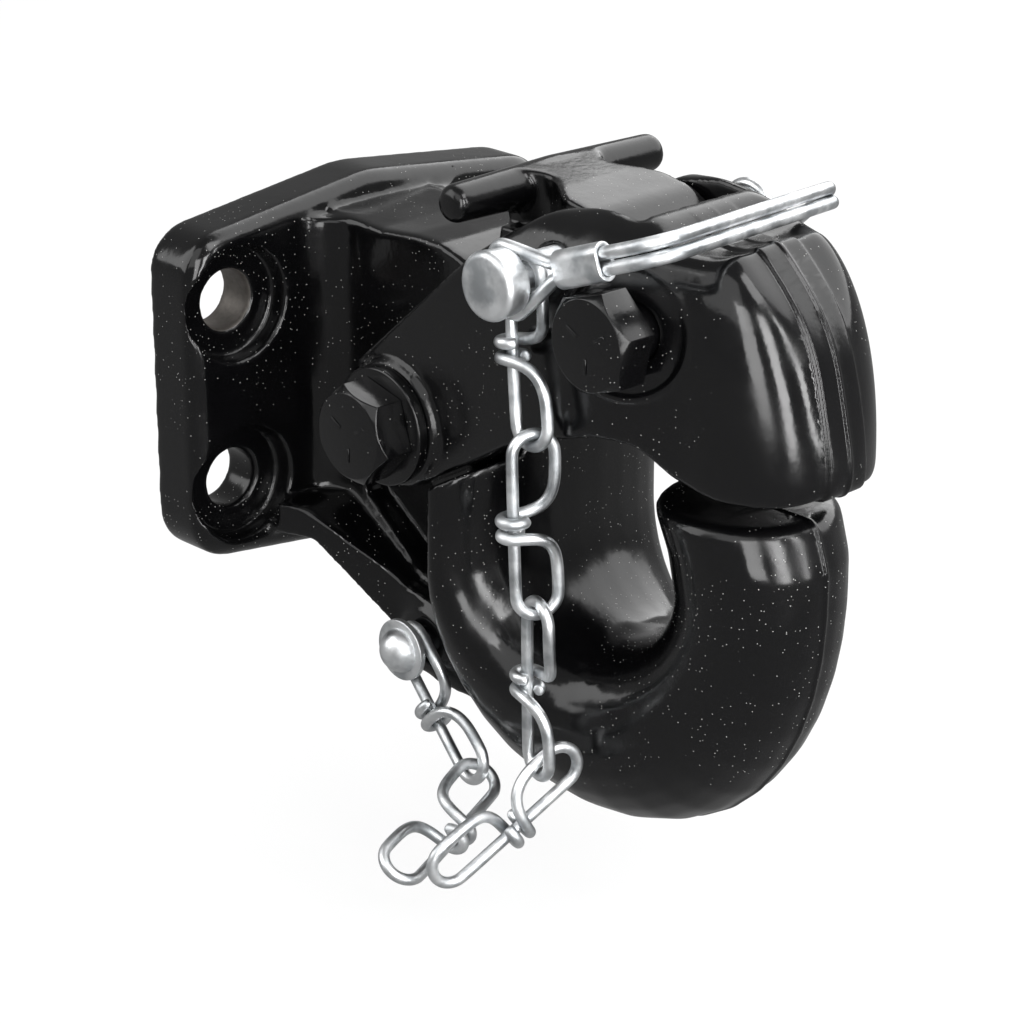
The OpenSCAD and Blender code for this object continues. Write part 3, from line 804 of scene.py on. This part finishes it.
@dataclass
class Hook:
    """The pintle hook: forgings, fasteners, pin, bail and chain."""

    jaw_forging_height: float = 0.07 * MM
    jaw_soft_from: float = 124.0 * MM
    moving_dust: float = 0.36
    fastener_forging_height: float = 0.09 * MM
    fastener_dust: float = 0.55
    fastener_edge: float = 0.6 * MM
    pin_edge: float = 0.6 * MM
    screw_edge: float = 0.3 * MM
    sheet_edge: float = 0.25 * MM
    bail_swell: float = 0.17 * MM
    chain_swell: float = 0.14 * MM
    spring_swell: float = 0.07 * MM

    def forgings(self) -> list[bpy.types.Object]:
        """Builds the hook body, the jaw and the lock lever.

        Returns:
            The three pieces.
        """
        marks = DieMarks()
        body = Forging("hook_body", "hook", Slot.ENAMEL, relief=marks.on_hook)
        jaw = Forging(
            "jaw",
            "jaw",
            Slot.ENAMEL,
            voxel=0.5 * MM,
            rounds=56,
            triangles=140_000,
            soft_from=self.jaw_soft_from,
            relief=marks.on_jaw,
        )
        lever = Forging(
            "lock_lever", "lever", Slot.ENAMEL, voxel=0.4 * MM, rounds=40, triangles=80_000
        )
        body_finish = Enamel("hook_enamel", bare=BareHoles())
        jaw_finish = Enamel(
            "jaw_enamel", forging_height=self.jaw_forging_height, dust_share=self.moving_dust
        )
        lever_finish = Enamel("lever_enamel", dust_share=self.moving_dust)
        pairs = ((body, body_finish), (jaw, jaw_finish), (lever, lever_finish))
        return [forging.build(finish.material()) for forging, finish in pairs]

    def fasteners(self) -> list[bpy.types.Object]:
        """Builds the bolts, nuts and washers of the jaw and the lever.

        Returns:
            The pieces.
        """
        paint = Enamel(
            "fastener_enamel",
            forging_height=self.fastener_forging_height,
            dust_share=self.fastener_dust,
        ).material()
        pieces = []
        for name in ("jaw_pivot_bolt", "lock_pivot_bolt"):
            pieces.append(
                Turned(name, "jaw", Slot.FASTENERS, self.fastener_edge, strokes=HeadStrokes())
            )
        for name in ("jaw_pivot_nut", "jaw_pivot_washers", "lock_pivot_nut", "lock_pivot_washer"):
            pieces.append(Turned(name, "jaw", Slot.FASTENERS, self.fastener_edge))
        return [piece.build(paint) for piece in pieces]

    def pin_and_chain(self) -> list[bpy.types.Object]:
        """Builds the safety pin, its bail and ferrule, the chain and its screw.

        Returns:
            The pieces.
        """
        plating = Zinc().material()
        pieces = [
            Turned("safety_pin", "pin", Slot.ZINC, self.pin_edge),
            Turned("bail_ferrule", "bail", Slot.ZINC, self.sheet_edge),
            Turned("chain_screw", "hook", Slot.ZINC, self.screw_edge),
            Turned("chain_screw_washer", "hook", Slot.ZINC, self.sheet_edge),
            RoundWire("pin_bail", "bail", Slot.ZINC, self.bail_swell),
        ]
        for number in range(1, LINKS + 1):
            node, body = f"chain_link_{number}", f"link_{number}"
            pieces.append(RoundWire(node, body, Slot.ZINC, self.chain_swell))
        return [piece.build(plating) for piece in pieces]

    def spring(self) -> list[bpy.types.Object]:
        """Builds the lever's spring."""
        wire = RoundWire("lock_spring", "jaw", Slot.SPRING, self.spring_swell)
        return [wire.build(SpringWire().material())]


@dataclass(frozen=True)
class SoftBox:
    """A soft box that hangs round the object.

    Its bearing is in degrees, 0 behind the camera and 90 to the camera's right. Its height is
    in degrees over the object, its width and height in metres, and a radiance of 1 is a white
    card in full light.
    """

    name: str
    bearing: float
    height: float
    size: tuple[float, float]
    radiance: float
    distance: float = 1.3


STRIP_DISTANCE = 0.55
SOFT_BOXES = (
    SoftBox("left_box", -82, 32, (0.9, 1.0), 2.6),
    SoftBox("front_sheet", -24, 42, (1.0, 0.9), 1.4),
    SoftBox("right_box", 52, 52, (0.5, 0.5), 6.0),
    SoftBox("rear_sheet", 132, 42, (2.0, 1.5), 2.6),
    SoftBox("left_strip", 1, 15, (0.16, 0.42), 7.0, STRIP_DISTANCE),
    SoftBox("middle_strip", 30, 13, (0.11, 0.44), 13.0, STRIP_DISTANCE),
    SoftBox("right_strip", 56, 15, (0.05, 0.42), 14.0, STRIP_DISTANCE),
)


@dataclass
class Studio:
    """The floor, the sky, the lamps and the camera."""

    eye: Point = (0.5876, -0.5001, 0.2607)
    azimuth: float = 46.4
    elevation: float = 21.7
    lens: float = 116.0
    sensor: float = 36.0
    clip: Range = (0.01, 30.0)
    centre: Point = (0.085, 0.0, -0.01)
    chain_room: float = 15.5 * MM
    floor_size: float = 9.0
    sky: float = 0.3

    def build(self) -> None:
        """Builds the whole studio."""
        self.floor()
        self.world()
        for box in SOFT_BOXES:
            self.hang(box)
        self.camera()
        bpy.context.scene.view_settings.view_transform = "Standard"

    def toward(self, bearing: float, height: float) -> Vector:
        """Gives the direction from the object to a place round it.

        Args:
            bearing: Degrees to the right of the camera's own bearing.
            height: Degrees over the object.

        Returns:
            The direction, of length 1.
        """
        a, e = math.radians(self.azimuth + bearing), math.radians(height)
        return Vector((math.sin(a) * math.cos(e), -math.cos(a) * math.cos(e), math.sin(e)))

    def stand(self, name: str, data: bpy.types.ID, place: Vector, away: Vector) -> bpy.types.Object:
        """Puts a lamp or a camera into the scene and turns it to the object.

        Args:
            name: Its name.
            data: The lamp's or camera's data.
            place: Where it stands.
            away: The direction from the object to it.

        Returns:
            The lamp or camera.
        """
        thing = bpy.data.objects.new(name, data)
        bpy.context.scene.collection.objects.link(thing)
        thing.location = place
        thing.rotation_mode = "QUATERNION"
        thing.rotation_quaternion = (-away).to_track_quat("-Z", "Y")
        return thing

    def floor(self) -> None:
        """Builds the floor, with room above it for the chain's lowest swing."""
        place = Matrix.Translation((0.0, 0.0, CAD_BOX[0][2] - self.chain_room))
        bm = bmesh.new()
        bmesh.ops.create_grid(
            bm, x_segments=2, y_segments=2, size=self.floor_size / 2, matrix=place
        )
        piece = new_piece("floor", made(bm, "floor"))
        piece.data.materials.append(PaleFloor().material())

    def world(self) -> None:
        """Gives the scene an even soft sky, which is white to the camera."""
        sky = bpy.data.worlds.new("soft_sky")
        sky.use_nodes = True
        tree = sky.node_tree
        back = tree.nodes["Background"]
        back.inputs["Color"].default_value = (1.0, 1.0, 1.0, 1.0)
        strength = tree.nodes.new("ShaderNodeMapRange")
        strength.inputs["To Min"].default_value = self.sky
        strength.inputs["To Max"].default_value = 1.0
        seen = tree.nodes.new("ShaderNodeLightPath").outputs["Is Camera Ray"]
        tree.links.new(seen, strength.inputs["Value"])
        tree.links.new(strength.outputs["Result"], back.inputs["Strength"])
        bpy.context.scene.world = sky

    def hang(self, box: SoftBox) -> None:
        """Hangs a soft box round the object.

        Args:
            box: The soft box.
        """
        away = self.toward(box.bearing, box.height)
        data = bpy.data.lights.new(box.name, "AREA")
        data.shape = "RECTANGLE"
        data.size, data.size_y = box.size
        data.energy = box.radiance * box.size[0] * box.size[1] * math.pi
        lamp = self.stand(box.name, data, Vector(self.centre) + away * box.distance, away)
        lamp.visible_camera = False

    def camera(self) -> None:
        """Sets the camera at the photograph's place."""
        data = bpy.data.cameras.new("photo_camera")
        data.sensor_width = self.sensor
        data.lens = self.lens
        data.clip_start, data.clip_end = self.clip
        data.dof.use_dof = False
        away = self.toward(0.0, self.elevation)
        bpy.context.scene.camera = self.stand("photo_camera", data, Vector(self.eye), away)


def main() -> None:
    """Builds the studio and the hook's pieces in order."""
    logging.basicConfig(level=logging.INFO, format="%(message)s")
    Studio().build()
    hook = Hook()
    for step in (hook.forgings, hook.fasteners, hook.pin_and_chain, hook.spring):
        for piece in step():
            LOG.info("%s: %d faces", piece.name, len(piece.data.polygons))


if __name__ == "__main__":
    main()
